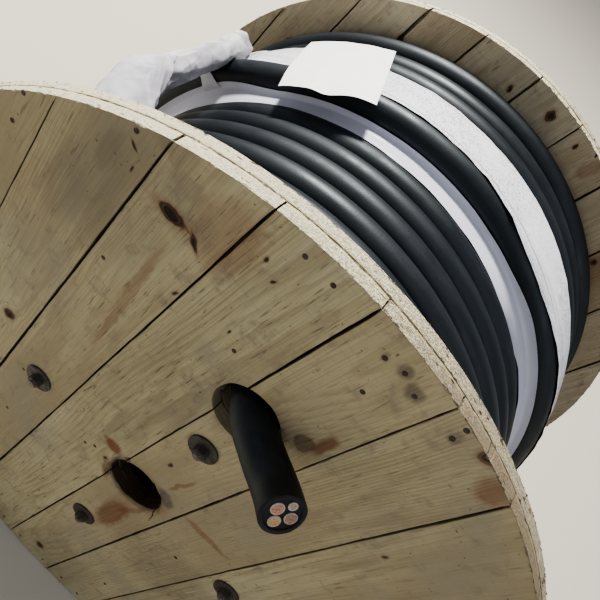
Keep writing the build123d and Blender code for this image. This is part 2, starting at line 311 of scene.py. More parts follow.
def rubber(name, lift=0.0, low=(0.0046, 0.0064, 0.0088), high=(0.0115, 0.0145, 0.0185)):
    g = Graph(name, Roughness=0.5, IOR=1.5)
    g.b.inputs["Specular IOR Level"].default_value = 0.43
    # painted reflection: the bluish specular tint and the bluish default low and high colours stand in for blue sky
    # reflected in the rubber
    g.b.inputs["Specular Tint"].default_value = (0.84, 0.93, 1.0, 1)
    x, y, z = g.sep(g.pos)
    around = g.math("ARCTAN2", x, z)
    along = g.comb(g.math("MULTIPLY", around, 2.2), g.math("MULTIPLY", y, 60.0),
                   g.math("MULTIPLY", g.vmath("LENGTH", g.comb(x, 0.0, z)), 60.0))
    streak = g.noise(along, 1.0, 3.0, 0.6)
    cloud = g.noise(g.pos, 9.0, 4.0, 0.6)
    fine = g.noise(g.pos, 420.0, 2.0, 0.6)
    scuff = g.noise(g.vmath("MULTIPLY", g.pos, (28.0, 70.0, 28.0)), 1.0, 4.0, 0.7)
    col = g.mix(g.step(streak, 0.35, 0.75), low, high)
    col = g.mix(g.step(cloud, 0.50, 0.80, (0.0, 0.30)), col, (0.026, 0.028, 0.031))
    col = g.mix(g.step(scuff, 0.66, 0.80, (0.0, 0.16)), col, (0.085, 0.085, 0.085))
    g.put(g.b.inputs["Base Color"], col)
    g.put(g.b.inputs["Roughness"], g.step(g.math("ADD", g.math("MULTIPLY", cloud, 0.6),
                                                 g.math("MULTIPLY", scuff, 0.4)), 0.3, 0.7,
                                          (0.40 + lift, 0.62 + lift)))
    g.put(g.b.inputs["Normal"], g.bump(g.math("MULTIPLY_ADD", streak, 0.7, fine), 0.00035, 0.5))
    return g.m


# painted shade: the bluish default tint stands in for skylight on the shaded film
def film(name, tint=(0.76, 0.76, 0.81), weave=True, rough=0.42, creased=False, hems=()):
    g = Graph(name, Roughness=rough, IOR=1.48)
    g.b.inputs["Specular IOR Level"].default_value = 0.45
    u, v, w = g.sep(g.attr("cloth").outputs["Vector"])
    cloud = g.noise(g.pos, 14.0, 3.0, 0.6)
    dirt = g.noise(g.vmath("MULTIPLY", g.pos, (30.0, 30.0, 30.0)), 1.0, 4.0, 0.65)
    col = g.mix(g.step(cloud, 0.40, 0.75, (0.0, 0.35)), tint, tuple(t * 0.84 for t in tint))
    col = g.mix(g.step(dirt, 0.60, 0.80, (0.0, 0.34)), col, (0.40, 0.385, 0.37))
    if hems:
        glint = g.noise(g.vmath("MULTIPLY", g.pos, (230.0, 230.0, 230.0)), 1.0, 3.0, 0.7)
        where = g.noise(g.pos, 7.0, 2.0, 0.5)
        col = g.mix(g.math("MULTIPLY", g.step(glint, 0.49, 0.60, (0.0, 0.85)), g.step(where, 0.40, 0.58, (0.30, 1.0))),
                    col, tuple(t * 0.44 for t in tint))
        # painted shade: the strip darkens to blue-grey on the drum's right, 0.55 to 1.10 rad from the top, away from
        # the key light
        px, py, pz = g.sep(g.pos)
        turn = g.math("ARCTAN2", px, pz)
        col = g.mix(g.step(turn, 0.55, 1.10, (0.0, 0.50)), col, (0.44, 0.44, 0.50))
    lines = 0.0
    for hv in hems:
        gap = g.math("ABSOLUTE", g.math("SUBTRACT", v, hv))
        lines = g.math("ADD", lines, g.step(gap, 0.0022, 0.0006))
    if hems:
        col = g.mix(g.math("MULTIPLY", lines, 0.75), col, tuple(t * 0.40 for t in tint))
    if creased:
        # painted shade: lilac-grey patches for the shade in the tail's crumples
        crumple_shade = g.noise(g.vmath("MULTIPLY", g.pos, (16.0, 22.0, 16.0)), 1.0, 3.0, 0.6)
        col = g.mix(g.step(crumple_shade, 0.47, 0.60, (0.0, 0.60)), col, (0.30, 0.29, 0.345))
        # painted shade: darker, bluer towards the near flange, where the tail hangs down
        qx, qy, qz = g.sep(g.pos)
        col = g.mix(g.step(qy, -0.12, -0.30, (0.0, 0.60)), col, (0.37, 0.36, 0.41))
        # painted shade: the tail's creases, underside and camera-facing flank darken, as set on the mesh
        crease_shade = g.attr("crease_shade").outputs["Fac"]
        col = g.mix(g.step(crease_shade, 0.0, 1.0, (0.0, 0.80)), col, (0.215, 0.205, 0.245))
    g.put(g.b.inputs["Base Color"], col)
    h = g.math("MULTIPLY", g.noise(g.comb(g.math("MULTIPLY", u, 12.0), g.math("MULTIPLY", v, 150.0), 0.0),
                                   1.0, 3.0, 0.6), 1.6)
    if weave:
        pu = g.math("SINE", g.math("MULTIPLY", u, 2 * math.pi / 0.0024))
        pv = g.math("SINE", g.math("MULTIPLY", v, 2 * math.pi / 0.0024))
        h = g.math("MULTIPLY_ADD", g.math("MULTIPLY", pu, pv), 0.35, h)
    if hems:
        h = g.math("MULTIPLY_ADD", g.noise(g.pos, 120.0, 3.0, 0.65), 1.8, h)
        h = g.math("MULTIPLY_ADD", lines, -1.6, h)
    g.put(g.b.inputs["Normal"], g.bump(h, 0.0005, 0.7))
    return g.m


def steel(name, base, rust, amount, rough=0.55, thread=False):
    g = Graph(name, Roughness=rough, Metallic=0.85, IOR=1.5)
    n1 = g.noise(g.pos, 95.0, 5.0, 0.65)
    n2 = g.noise(g.pos, 600.0, 2.0, 0.6)
    f = g.step(n1, 0.62 - amount * 0.3, 0.75 - amount * 0.2)
    g.put(g.b.inputs["Base Color"], g.mix(f, base, rust))
    g.put(g.b.inputs["Metallic"], g.step(f, 0.0, 1.0, (0.85, 0.15)))
    g.put(g.b.inputs["Roughness"], g.step(f, 0.0, 1.0, (rough - 0.08, 0.85)))
    h = g.math("MULTIPLY_ADD", n1, 1.0, g.math("MULTIPLY", n2, 0.5))
    if thread:
        x, y, z = g.sep(g.pos)
        h = g.math("MULTIPLY_ADD", g.math("SINE", g.math("MULTIPLY", y, 2 * math.pi / 0.002)), 0.9, h)
    g.put(g.b.inputs["Normal"], g.bump(h, 0.0006, 0.8))
    return g.m


def copper(name, a, b, metallic=0.9):
    g = Graph(name, Roughness=0.36, Metallic=metallic, IOR=1.5)
    n = g.noise(g.pos, 700.0, 3.0, 0.6)
    g.put(g.b.inputs["Base Color"], g.mix(g.step(n, 0.35, 0.65), a, b))
    g.put(g.b.inputs["Normal"], g.bump(n, 0.0004, 0.6))
    return g.m


def plain(name, colour, rough=0.6):
    g = Graph(name, Roughness=rough, IOR=1.5)
    n = g.noise(g.pos, 260.0, 3.0, 0.6)
    g.put(g.b.inputs["Base Color"], g.mix(g.step(n, 0.3, 0.7, (0.0, 0.5)), colour,
                                          tuple(v * 0.75 for v in colour)))
    g.put(g.b.inputs["Normal"], g.bump(n, 0.0003, 0.5))
    return g.m


KNOTS = [(-174, 488, 19, 8.5, 0, 1.0), (-135, 480, 3, 12, -35, 0.9), (97, 374, 13, 15, 0, 0.55),
         (-241, 520, 2, 7, -60, 0.8), (-231, 494, 2, 4, 0, 0.7), (-68, 535, 2.5, 4, 0, 0.8),
         (-49, 520, 2, 4, 30, 0.8), (-49, 419, 2, 3, 0, 0.7),
         (210, 553, 9, 10, 0, 0.7), (-310, 100, 9, 12, 20, 0.9), (10, 122, 3, 5, 0, 0.8),
         (-68, -8, 3, 4, 0, 0.8), (-123, 402, 2, 7, 25, 0.7), (330, -210, 9, 12, 15, 0.8),
         (-455, -150, 8, 11, 0, 0.9), (-60, -520, 9, 12, 0, 0.85), (410, 250, 5, 7, 0, 0.7),
         (46, -25, 1.6, 26, -8, 0.8), (262, 330, 3, 5, 0, 0.6)]
STAINS = [(-112, 518, 46, 58, 10, 0.42), (-151, 488, 9, 2.2, 15, 0.8), (-142, 487, 2.2, 8, -30, 0.8),
          (-170, 318, 8, 140, 3, 0.42), (113, 396, 9, 26, 5, 0.8),
          (245, 530, 20, 25, 0, 0.6), (0, -140, 22, 78, 6, 0.80), (44, 102, 4, 42, 15, 0.55),
          (125, 42, 48, 9, 0, 0.5), (-72, 40, 20, 15, 20, 0.9), (-58, -30, 9, 34, -20, 0.55),
          (20, -75, 7, 46, 24, 0.5), (0, 0, 62, 58, 0, 0.55), (36, 335, 60, 58, 0, 0.25),
          (-330, 330, 40, 90, 0, 0.14), (300, -60, 34, 110, 4, 0.28)]
SMUDGES = [(-264, 491, 15, 34, 5, 0.30), (41, 39, 14, 23, -40, 0.85), (-50, 8, 10, 30, 0, 0.7), (-173, 532, 26, 15, 0, 0.4),
           (-150, 498, 34, 32, 0, 0.25), (-300, 400, 26, 70, 4, 0.28), (-200, 560, 30, 22, 0, 0.35), (99, 559, 10, 11, 0, 0.75),
           (120, 547, 12, 13, 0, 0.75), (77, 555, 6, 7, 0, 0.5), (178, 543, 9, 11, 0, 0.55), (145, -158, 130, 105, 10, 0.34),
           (-233, 444, 85, 110, 0, 0.26), (-2, -491, 90, 120, 0, 0.22)]
FAR_KNOTS = [(133, 552, 3.5, 4.5, 0, 0.9), (168, 566, 3, 4, 0, 0.9),
             (-250, 470, 7, 9, 0, 0.9), (60, 560, 8, 11, 0, 0.9), (330, 420, 6, 8, 0, 0.9),
             (-30, 545, 5, 7, 0, 0.9), (470, 210, 8, 11, 0, 0.9), (-440, 300, 8, 10, 0, 0.9)]
# dim sets the painted shade on the rim towards +X
wood_near = pine("pine_near", KNOTS, STAINS, dim=0.86, smudges=SMUDGES)
wood_far = pine("pine_far", FAR_KNOTS, [(180, 540, 16, 30, 12, 0.5), (335, 405, 40, 62, 10, 0.45)], light=(0.45, 0.35, 0.215),
                lift=(1.04, 1.18, 1.42))
wood_back = pine("pine_back", [(150, 210, 9, 12, 90, 0.9), (-260, -90, 10, 14, 90, 0.9),
                               (-80, 420, 8, 11, 90, 0.9), (350, -260, 7, 10, 90, 0.9)],
                 [(0, 0, 70, 66, 0, 0.35), (-200, 330, 46, 20, 0, 0.4)], dim=0.5)
wood_stave = pine("pine_stave", boards=False)
black = rubber("cable_rubber")
scuffed = rubber("cable_rubber_cut", 0.12, (0.0105, 0.0072, 0.0070), (0.022, 0.0150, 0.0145))
# painted shade: the films' bluish tints stand in for skylight in shade; film_thin's darker tint is partly the black
# rubber showing through, partly painted shade
white_woven = film("film_woven", hems=(0.0135, 0.1145))
white_loose = film("film_woven_loose", (0.76, 0.755, 0.79), creased=True)
white_thin = film("film_thin", (0.60, 0.61, 0.70), weave=False, rough=0.34)
white_paper = film("film_sheet", (0.93, 0.93, 0.935), weave=False, rough=0.55)
rusty = steel("rod_steel", (0.20, 0.19, 0.18), (0.105, 0.055, 0.032), 0.55, thread=True)
washer_steel = steel("washer_steel", (0.105, 0.10, 0.095), (0.062, 0.038, 0.026), 0.6, 0.62)
nail_dark = steel("nail_steel", (0.085, 0.075, 0.068), (0.060, 0.030, 0.018), 0.7, 0.6)


# ------------------------------------------------------------ meshes
def make(name, verts, faces, materials, smooth=True, angle=None, index=None):
    me = bpy.data.meshes.new(name)
    me.from_pydata([tuple(v) for v in verts], [], [tuple(int(i) for i in f) for f in faces])
    for m in materials if isinstance(materials, (list, tuple)) else [materials]:
        me.materials.append(m)
    me.polygons.foreach_set("use_smooth", [smooth] * len(me.polygons))
    if index is not None:
        me.polygons.foreach_set("material_index", [int(i) for i in index])
    if angle is not None:
        me.set_sharp_from_angle(angle=math.radians(angle))
    me.update()
    ob = bpy.data.objects.new(name, me)
    scene.collection.objects.link(ob)
    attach(ob, "root")
    return ob


def attribute(ob, name, values, kind="FLOAT_VECTOR"):
    a = ob.data.attributes.new(name, kind, "POINT")
    a.data.foreach_set("vector" if kind == "FLOAT_VECTOR" else "value",
                       np.asarray(values, np.float32).ravel())


def inside(pts, poly):
    x, y = pts[:, 0], pts[:, 1]
    res = np.zeros(len(pts), bool)
    a, b = poly, np.roll(poly, -1, 0)
    for (x1, y1), (x2, y2) in zip(a, b):
        hit = (y1 > y) != (y2 > y)
        if hit.any():
            xc = x1 + (y - y1) * (x2 - x1) / ((y2 - y1) if y2 != y1 else 1e-12)
            res ^= hit & (x < xc)
    return res


def to_board(tilt, x, z):
    a = math.radians(tilt)
    return x * math.cos(a) - z * math.sin(a), x * math.sin(a) + z * math.cos(a)


def board_mesh(ca, cb, holes, seed, hole_at):
    """One board in its own plane: (across, along, depth), faces, edge flag: sawn rim colour, and painted shade on the
    gap and hole walls.
    """
    rnd = random.Random(seed)
    n = np.random.default_rng(seed)
    wav = lambda s, side: 0.75 * vnoise(np.stack([s / 170, 0 * s + seed, 0 * s + side], 1), 3) \
        + 0.35 * vnoise(np.stack([s / 23, 0 * s + seed, 0 * s + side], 1), 5)
    pts = []
    sb = math.sqrt(max(0.0, R_FL ** 2 - cb * cb)) if cb < R_FL - 1 else 0.0
    sa = math.sqrt(max(0.0, R_FL ** 2 - ca * ca)) if ca > -R_FL + 1 else 0.0
    arc_r = lambda f: R_FL + 0.5 * vnoise(np.stack([np.cos(f) * 7, np.sin(f) * 7, 0 * f + 1], 1), 7) \
        + 0.25 * vnoise(np.stack([f * 60, 0 * f + seed, 0 * f], 1), 9) - 0.5
    if sb > 3:
        m = max(2, int(2 * sb / 11))
        s = np.linspace(-sb, sb, m)
        pts.append(np.stack([cb + wav(s, 1) - 0.2, s], 1)[1:-1])
        f0, f1 = math.atan2(sb, cb), math.atan2(sa, ca) if sa > 3 else math.pi
        f = np.linspace(f0, f1, max(4, int(abs(f1 - f0) * R_FL / 4.5)))
        r = arc_r(f)
        pts.append(np.stack([r * np.cos(f), r * np.sin(f)], 1))
    if sa > 3:
        m = max(2, int(2 * sa / 11))
        s = np.linspace(sa, -sa, m)
        pts.append(np.stack([ca - wav(s, 2) + 0.2, s], 1)[1:-1])
        f0 = math.atan2(-sa, ca)
        f1 = math.atan2(-sb, cb) if sb > 3 else 0.0
        if sb <= 3:
            f0, f1 = -abs(f0), abs(f0)
        f = np.linspace(f0, f1, max(4, int(abs(f1 - f0) * R_FL / 4.5)))
        r = arc_r(f)
        pts.append(np.stack([r * np.cos(f), r * np.sin(f)], 1))
    else:
        f0 = math.atan2(-sb, cb)
        f = np.linspace(-math.pi, f0, max(4, int(abs(f0 + math.pi) * R_FL / 4.5)))[1:]
        r = arc_r(f)
        pts.append(np.stack([r * np.cos(f), r * np.sin(f)], 1))
    outline = np.concatenate(pts)
    rings = []
    for hc, hs, hr, rough in holes:
        k = 56 if hr > 20 else 20
        t = np.linspace(0, 2 * math.pi, k, endpoint=False)
        rr = hr + rough * vnoise(np.stack([np.cos(t) * 2.2 + hc, np.sin(t) * 2.2 + hs, 0 * t], 1), 4)
        rings.append(np.stack([hc + rr * np.cos(t), hs + rr * np.sin(t)], 1))
    rings = [q for q in rings if (q[:, 0].max() > ca) and (q[:, 0].min() < cb)]
    g = 19.0
    gs = np.arange(-R_FL, R_FL, g)
    gc = np.arange(ca + 9, cb - 8, g)
    C, S = np.meshgrid(gc, gs)
    grid = np.stack([C.ravel() + n.uniform(-4, 4, C.size), S.ravel() + n.uniform(-5, 5, C.size)], 1)
    grid = grid[inside(grid, outline)]
    for q in rings:
        grid = grid[~inside(grid, q)]
    every = np.concatenate([outline] + rings)
    if len(grid):
        gap = np.sqrt(((grid[:, None, :] - every[None]) ** 2).sum(-1)).min(1)
        grid = grid[gap > 5.0]
    verts, edges, at = [], [], 0
    for loop in [outline] + rings:
        k = len(loop)
        verts += [Vector(p) for p in loop]
        edges += [(at + i, at + (i + 1) % k) for i in range(k)]
        at += k
    verts += [Vector(p) for p in grid]
    vs, _, fs, *_ = delaunay_2d_cdt(verts, edges, [], 0, 1e-5)
    P = np.array([tuple(v) for v in vs])
    F = np.array([tuple(f) for f in fs if len(f) == 3])
    a, b, c = P[F[:, 0]], P[F[:, 1]], P[F[:, 2]]
    area = (b[:, 0] - a[:, 0]) * (c[:, 1] - a[:, 1]) - (b[:, 1] - a[:, 1]) * (c[:, 0] - a[:, 0])
    F[area < 0] = F[area < 0][:, ::-1]
    F = F[np.abs(area) > 1e-4]
    cen = P[F].mean(1)
    keep = inside(cen, outline)
    for q in rings:
        keep &= ~inside(cen, q)
    F = F[keep]
    used = np.unique(F)
    new = -np.ones(len(P), int)
    new[used] = np.arange(len(used))
    P, F = P[used], new[F]
    count = {}
    for t in F:
        for i, j in ((t[0], t[1]), (t[1], t[2]), (t[2], t[0])):
            count[(i, j)] = count.get((i, j), 0) + 1
    E = [(i, j) for (i, j) in count if (j, i) not in count]
    N = len(P)
    nor = np.zeros((N, 2))
    for i, j in E:
        e = P[j] - P[i]
        e = np.array([e[1], -e[0]]) / (np.linalg.norm(e) + 1e-9)
        nor[i] += e
        nor[j] += e
    ln = np.linalg.norm(nor, axis=1)
    B = ln > 1e-6
    nor[B] /= ln[B][:, None]
    rad = np.hypot(P[:, 0], P[:, 1])
    is_rim = B & (rad > R_FL - 6)
    in_bore = B & (rad < R_BORE + 12)
    bevel = np.where(B, np.where(is_rim, 0.42, 0.6) + np.where(is_rim, 0.18, 0.3) * vnoise(np.stack([P[:, 0] / 9, P[:, 1] / 9, P[:, 0] * 0 + seed], 1), 2), 0)
    chip = np.clip(vnoise(np.stack([P[:, 0] / 11, P[:, 1] / 11, P[:, 0] * 0 + seed], 1), 12), 0, 1)
    bevel += np.where(is_rim, 0.8 * chip ** 3, 0) + np.where(B & ~is_rim, 1.0 * chip ** 2, 0)
    bevel += np.where(in_bore, 3.0 + 7.0 * chip, 0)
    bevel = np.clip(bevel, 0.35, 10) * B
    relief = 0.35 * vnoise(np.stack([P[:, 0] / 60, P[:, 1] / 260, P[:, 0] * 0 + seed], 1), 6)
    relief += rnd.uniform(0.0, 0.5)
    for hx, hs, hr, _ in holes:
        if hr < 20:
            relief *= sstep(np.hypot(P[:, 0] - hx, P[:, 1] - hs), 24, 60)
    relief = np.clip(relief, 0.0, 1.2)
    V = [np.column_stack([P - nor * bevel[:, None], relief])]
    idx = np.flatnonzero(B)
    pos = -np.ones(N, int)
    pos[idx] = np.arange(len(idx))
    depths = [None, 4.5, 8.0, 12.0, 15.5, T_B - 1.2]
    rim_b = is_rim[idx]
    for k, dpt in enumerate(depths):
        q = P[idx]
        d = (relief[idx] + bevel[idx] * 0.75) if dpt is None else np.full(len(idx), dpt)
        if dpt is None:
            d = np.minimum(d, 4.2)
        rough = np.where(rim_b, 0.40 * (k > 0) * (k < 5), 0.2) * vnoise(
            np.stack([q[:, 0] / 4.1, q[:, 1] / 4.1, q[:, 0] * 0 + k * 1.7 + seed], 1), 21)
        rough -= np.where(rim_b, 0.9 * (0.25 if k == 0 else 1.0) * np.clip(vnoise(np.stack([q[:, 0] / 13, q[:, 1] / 13,
                                                               q[:, 0] * 0 + k * 0.45 + seed], 1), 22) - 0.35,
                                               0, 1) * 2.2, 0)
        V.append(np.column_stack([q + nor[idx] * rough[:, None], d]))
    back_in = 0.9 + np.where(is_rim, 1.8 + 2.4 * np.clip(vnoise(np.stack([P[:, 0] / 16, P[:, 1] / 16,
                                                       P[:, 0] * 0 + seed], 1), 61) + 0.3, 0, 1), 0)
    V.append(np.column_stack([P - nor * (back_in * B)[:, None], np.full(N, T_B)]))
    nb, m = len(idx), len(depths)
    back = N + nb * m
    faces = [tuple(t) for t in F] + [tuple(t[::-1] + back) for t in F]
    flag = [0] * (2 * len(F))
    for i, j in E:
        col_i = [i] + [N + nb * k + pos[i] for k in range(m)] + [back + i]
        col_j = [j] + [N + nb * k + pos[j] for k in range(m)] + [back + j]
        for k in range(m + 1):
            faces.append((col_j[k], col_i[k], col_i[k + 1], col_j[k + 1]))
    V = np.concatenate(V)
    in_hole = B & ~is_rim & (np.abs(rad - math.hypot(*hole_at)) < 52) & \
        (np.hypot(P[:, 0] - hole_at[0], P[:, 1] - hole_at[1]) < 54)
    # negative values are painted shade on the board sides in the gaps, the bore walls and mouth, the stub hole's walls
    # and the back-face edges; positive is the sawn rim
    wall = np.where(is_rim[idx], 1.0, 0.0) - np.where(in_bore[idx], 0.95, 0) - np.where(in_hole[idx], 0.25, 0) \
        - np.where(~is_rim[idx] & ~in_bore[idx] & ~in_hole[idx], 0.55, 0)
    lip = wall + np.where(in_bore[idx], 0.35, 0)
    last = np.where(is_rim[idx], 0.35, wall)
    raw = np.concatenate([np.where(in_bore, -0.25, 0), lip, *[wall] * (m - 2), last, np.where(is_rim, -3.2, -0.7) * B])
    return V, faces, np.clip(raw, -1, 1)


def flange_layer(name, node, y_face, dirn, tilt, cuts, gaps, holes, seed, material):
    """A layer of boards. dirn +1: its shown face looks to -Y."""
    edges = [-R_FL] + list(cuts) + [R_FL]
    g = [0.0] + list(gaps) + [0.0]
    V, F, grain, board, edge, at = [], [], [], [], [], 0
    local = [(*to_board(tilt, x, z), r, rough) for x, z, r, rough in holes]
    a = math.radians(tilt)
    for k in range(len(edges) - 1):
        ca, cb = edges[k] + g[k] / 2, edges[k + 1] - g[k + 1] / 2
        v, f, raw = board_mesh(ca, cb, local, seed * 40 + k, to_board(tilt, 36.0, 335.0))
        rnd = random.Random(seed * 100 + k)
        c, s, d = v[:, 0], v[:, 1], v[:, 2]
        x = c * math.cos(a) + s * math.sin(a)
        z = -c * math.sin(a) + s * math.cos(a)
        V.append(np.column_stack([x, y_face + dirn * d, z]))
        F += [tuple((np.array(t) + at)[::dirn]) for t in f]
        at += len(v)
        mid = (ca + cb) / 2
        grain.append(np.column_stack([c - mid, d, s + rnd.uniform(-400, 400)]) / 1000)
        board.append(np.tile([rnd.random(), rnd.random(), rnd.random()], (len(v), 1)))
        edge.append(raw)
    V = np.concatenate(V) / 1000
    ob = make(name, V, F, material, angle=34)
    attribute(ob, "grain", np.concatenate(grain))
    attribute(ob, "board", np.concatenate(board))
    attribute(ob, "edge", np.concatenate(edge), "FLOAT")
    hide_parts(node)
    return ob


rod_holes = [(x, z, 7.0, 0.2) for x, z in RODS]
near_holes = [(0, 0, R_BORE, 1.6), (36.0, 335.0, 48.5, 0.8)] + rod_holes
far_holes = [(0, 0, R_BORE, 1.6)] + rod_holes
near_outer = flange_layer(
    "near_outer_boards", "near_flange_outer_boards", Y0, 1, 8.3,
    [-519, -404, -282, -170, -41, 75, 188, 306, 426, 536], [1.0, 0.4, 3.4, 2.2, 2.2, 2.2, 2.3, 1.5, 2.4, 1.8],
    near_holes, 1, wood_near)
near_inner = flange_layer(
    "near_inner_boards", "near_flange_inner_boards", Y0 + 2 * T_B, -1, 98.3,
    [-534, -421, -306, -188, -74, 40, 158, 272, 390, 505], [3] * 10, near_holes, 2, wood_back)
far_inner = flange_layer(
    "far_inner_boards", "far_flange_inner_boards", -Y0 - 2 * T_B, 1, 10.0,
    [-536, -432, -326, -222, -101, 13, 128, 240, 352, 462], [3, 3, 5, 3, 3.5, 3, 3, 4, 3, 3],
    far_holes, 3, wood_far)
far_outer = flange_layer(
    "far_outer_boards", "far_flange_outer_boards", -Y0, -1, 100.0,
    [-510, -396, -284, -168, -58, 60, 176, 290, 404, 518], [3, 2.5, 4, 3, 3, 3.6, 3, 2.6, 3.4, 3],
    far_holes, 4, wood_back)


def splinters(name, y_a, y_b, count, seed):
    """Torn fibres standing along a flange's sawn rim."""
    rnd = random.Random(seed)
    V, F = [], []
    for _ in range(count):
        f = rnd.uniform(0, 2 * math.pi)
        y = rnd.choice([y_a + rnd.uniform(0.2, 2.2), y_b - rnd.uniform(0.2, 2.2),
                        (y_a + y_b) / 2 + rnd.uniform(-1.6, 1.6), rnd.uniform(y_a + 2, y_b - 2)])
        e = Vector((math.cos(f), 0, math.sin(f)))
        t = Vector((-math.sin(f), 0, math.cos(f)))
        ax = Vector((0, 1, 0))
        p = e * (R_FL - 1.2) + ax * y
        ln, w, h = rnd.uniform(4, 13), rnd.uniform(0.3, 1.1), 0.28 + 0.85 * rnd.random() ** 2
        if math.sin(f) < -0.96:
            h = 0.25
        way = (t * rnd.choice([-1, 1]) + e * rnd.uniform(-0.03, 0.13) + ax * rnd.uniform(-0.18, 0.18)).normalized()
        side = way.cross(e).normalized()
        up = side.cross(way)
        at = len(V)
        for q in (p - way * ln / 2, p + side * w, p + up * h * 2, p - side * w, p - up * h,
                  p + way * ln / 2 + e * rnd.uniform(0, 0.5)):
            V.append(q)
        i = at
        F += [(i, i + 2, i + 1), (i, i + 3, i + 2), (i, i + 4, i + 3), (i, i + 1, i + 4),
              (i + 5, i + 1, i + 2), (i + 5, i + 2, i + 3), (i + 5, i + 3, i + 4), (i + 5, i + 4, i + 1)]
    V = np.array([tuple(v) for v in V]) / 1000
    ob = make(name, V, F, wood_near, smooth=False)
    attribute(ob, "grain", V * 1.0)
    attribute(ob, "board", np.tile([0.5, 0.5, 0.2], (len(V), 1)))
    attribute(ob, "edge", np.ones(len(V)), "FLOAT")
    return ob


near_fur = splinters("near_rim_splinters", Y0, Y0 + 40, 2600, 5)
far_fur = splinters("far_rim_splinters", -Y0 - 40, -Y0, 2600, 6)

# ------------------------------------------------------------ cable pack
Y4 = np.array([66.8, 100.3, 153.4, 206.5, 259.6, 312.7, 365.8, 418.9, 472.0, 525.1, 578.0])
Y5 = np.array([495.0, 500.5, 553.0, 605.0, 656.0, 707.5, 758.3, 758.3])


def y4(w):
    w = np.clip(w, -1, 8.999)
    i = np.floor(w).astype(int)
    f = w - i
    return Y4[i + 1] + (Y4[i + 2] - Y4[i + 1]) * (f + np.sin(2 * np.pi * f) / (2 * np.pi))


def r4(w):
    return 407.6 + (453.5 - 407.6) * sstep(w, -0.78, -0.30)


def y5(w):
    w = np.clip(w, -1, 5.999)
    i = np.floor(w).astype(int)
    f = w - i
    return Y5[i + 1] + (Y5[i + 2] - Y5[i + 1]) * (f - np.sin(2 * np.pi * f) / (2 * np.pi))


def lift(a):
    """How much higher the first raised turn rides near its start, at an angle in degrees."""
    a = np.asarray(a, float)
    return 13.5 * sstep(-a, 36, 50) * (1 - sstep(-a, 100, 142))


def r5(w):
    return 499.4 + 12.1 * sstep(w, 4.25, 4.8) - 56.0 * sstep(w, 5.40, 5.62) + lift(360 * np.asarray(w, float))


def soft(th, k):
    return 0.5 * vnoise(np.stack([np.cos(th) * 3, np.sin(th) * 3, 0 * th + k], 1), 31) \
        + 0.5 * vnoise(np.stack([np.cos(th) * 1.3, np.sin(th) * 1.3, 0 * th + k], 1), 32)


W4 = (-1.28, 8.6)
W5 = (-0.42, 5.64)


def pack_r(theta, ys):
    """Outside of the pack at an angle from +Z towards +X, in degrees, over stations ys."""
    out = np.full(len(ys), 452.0)
    out[ys < 74] = 408.0
    cs = [(y4(np.array([k - theta / 360]))[0], r4(np.array([k - theta / 360]))[0])
          for k in range(-1, 10) if W4[0] <= k - theta / 360 <= W4[1]]
    cs += [(y5(np.array([k + theta / 360]))[0], r5(np.array([k + theta / 360]))[0])
           for k in range(-1, 7) if W5[0] <= k + theta / 360 <= W5[1]]
    for yc, rc in cs:
        dy = np.abs(ys - yc)
        m = dy < CR
        out[m] = np.maximum(out[m], rc + np.sqrt(CR ** 2 - dy[m] ** 2))
    return out


def tube(name, theta, y, r, seg, caps, slot="cable_rubber"):
    """A round cable along a coil: theta in radians, y and r in mm."""
    n = len(theta)
    a = np.linspace(0, 2 * np.pi, seg, endpoint=False)
    wob = soft(theta, 1.0)
    rr = (r + 0.5 * wob)[:, None] + CR * np.cos(a)[None]
    yy = y[:, None] + CR * np.sin(a)[None]
    V = np.stack([rr * np.sin(theta)[:, None], yy + Y0, rr * np.cos(theta)[:, None]], 2).reshape(-1, 3)
    F = []
    for i in range(n - 1):
        for j in range(seg):
            p, q = i * seg + j, i * seg + (j + 1) % seg
            F.append((p, q, q + seg, p + seg))
    for i, sign in ((0, 1), (n - 1, -1)):
        ring = [i * seg + j for j in range(seg)]
        F.append(tuple(ring[::-sign]))
    return V, F


def coil(name, w, theta, y, r, seg=22):
    V, F = tube(name, theta, y, r, seg, True)
    if theta[-1] < theta[0]:
        F = [f[::-1] for f in F]
    return V, F


w4 = np.arange(W4[0], W4[1], 1 / 200)
w5 = np.arange(W5[0], W5[1], 1 / 200)
v_a, f_a = coil("a", w4, -2 * np.pi * w4, y4(w4) * (w4 > -1) + 66.8 * (w4 <= -1), r4(w4))
v_b, f_b = coil("b", w5, 2 * np.pi * w5, y5(w5), r5(w5))


def lathe(profile, seg=120):
    """A ring turned about Y from a closed (radius, station) outline."""
    n = len(profile)
    V, F = [], []
    for i in range(seg):
        t = 2 * math.pi * i / seg
        for r, y in profile:
            V.append((r * math.sin(t), y + Y0, r * math.cos(t)))
    for i in range(seg):
        for j in range(n):
            p, q = i * n + j, i * n + (j + 1) % n
            i2 = (i + 1) % seg
            F.append((p, i2 * n + j, i2 * n + (j + 1) % n, q))
    return np.array(V), F


core, f_c = lathe([(289.5, 41), (289.5, 784), (470, 784), (470, 520), (449, 492), (449, 96), (404, 84), (384, 41)])
turns = make("cable_turns_lower", v_a / 1000, f_a, black, angle=60)
upper = make("cable_turns_upper", v_b / 1000, f_b, black, angle=60)
heart = make("cable_turns_within", core / 1000, f_c, black, angle=40)
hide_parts("wound_cable")

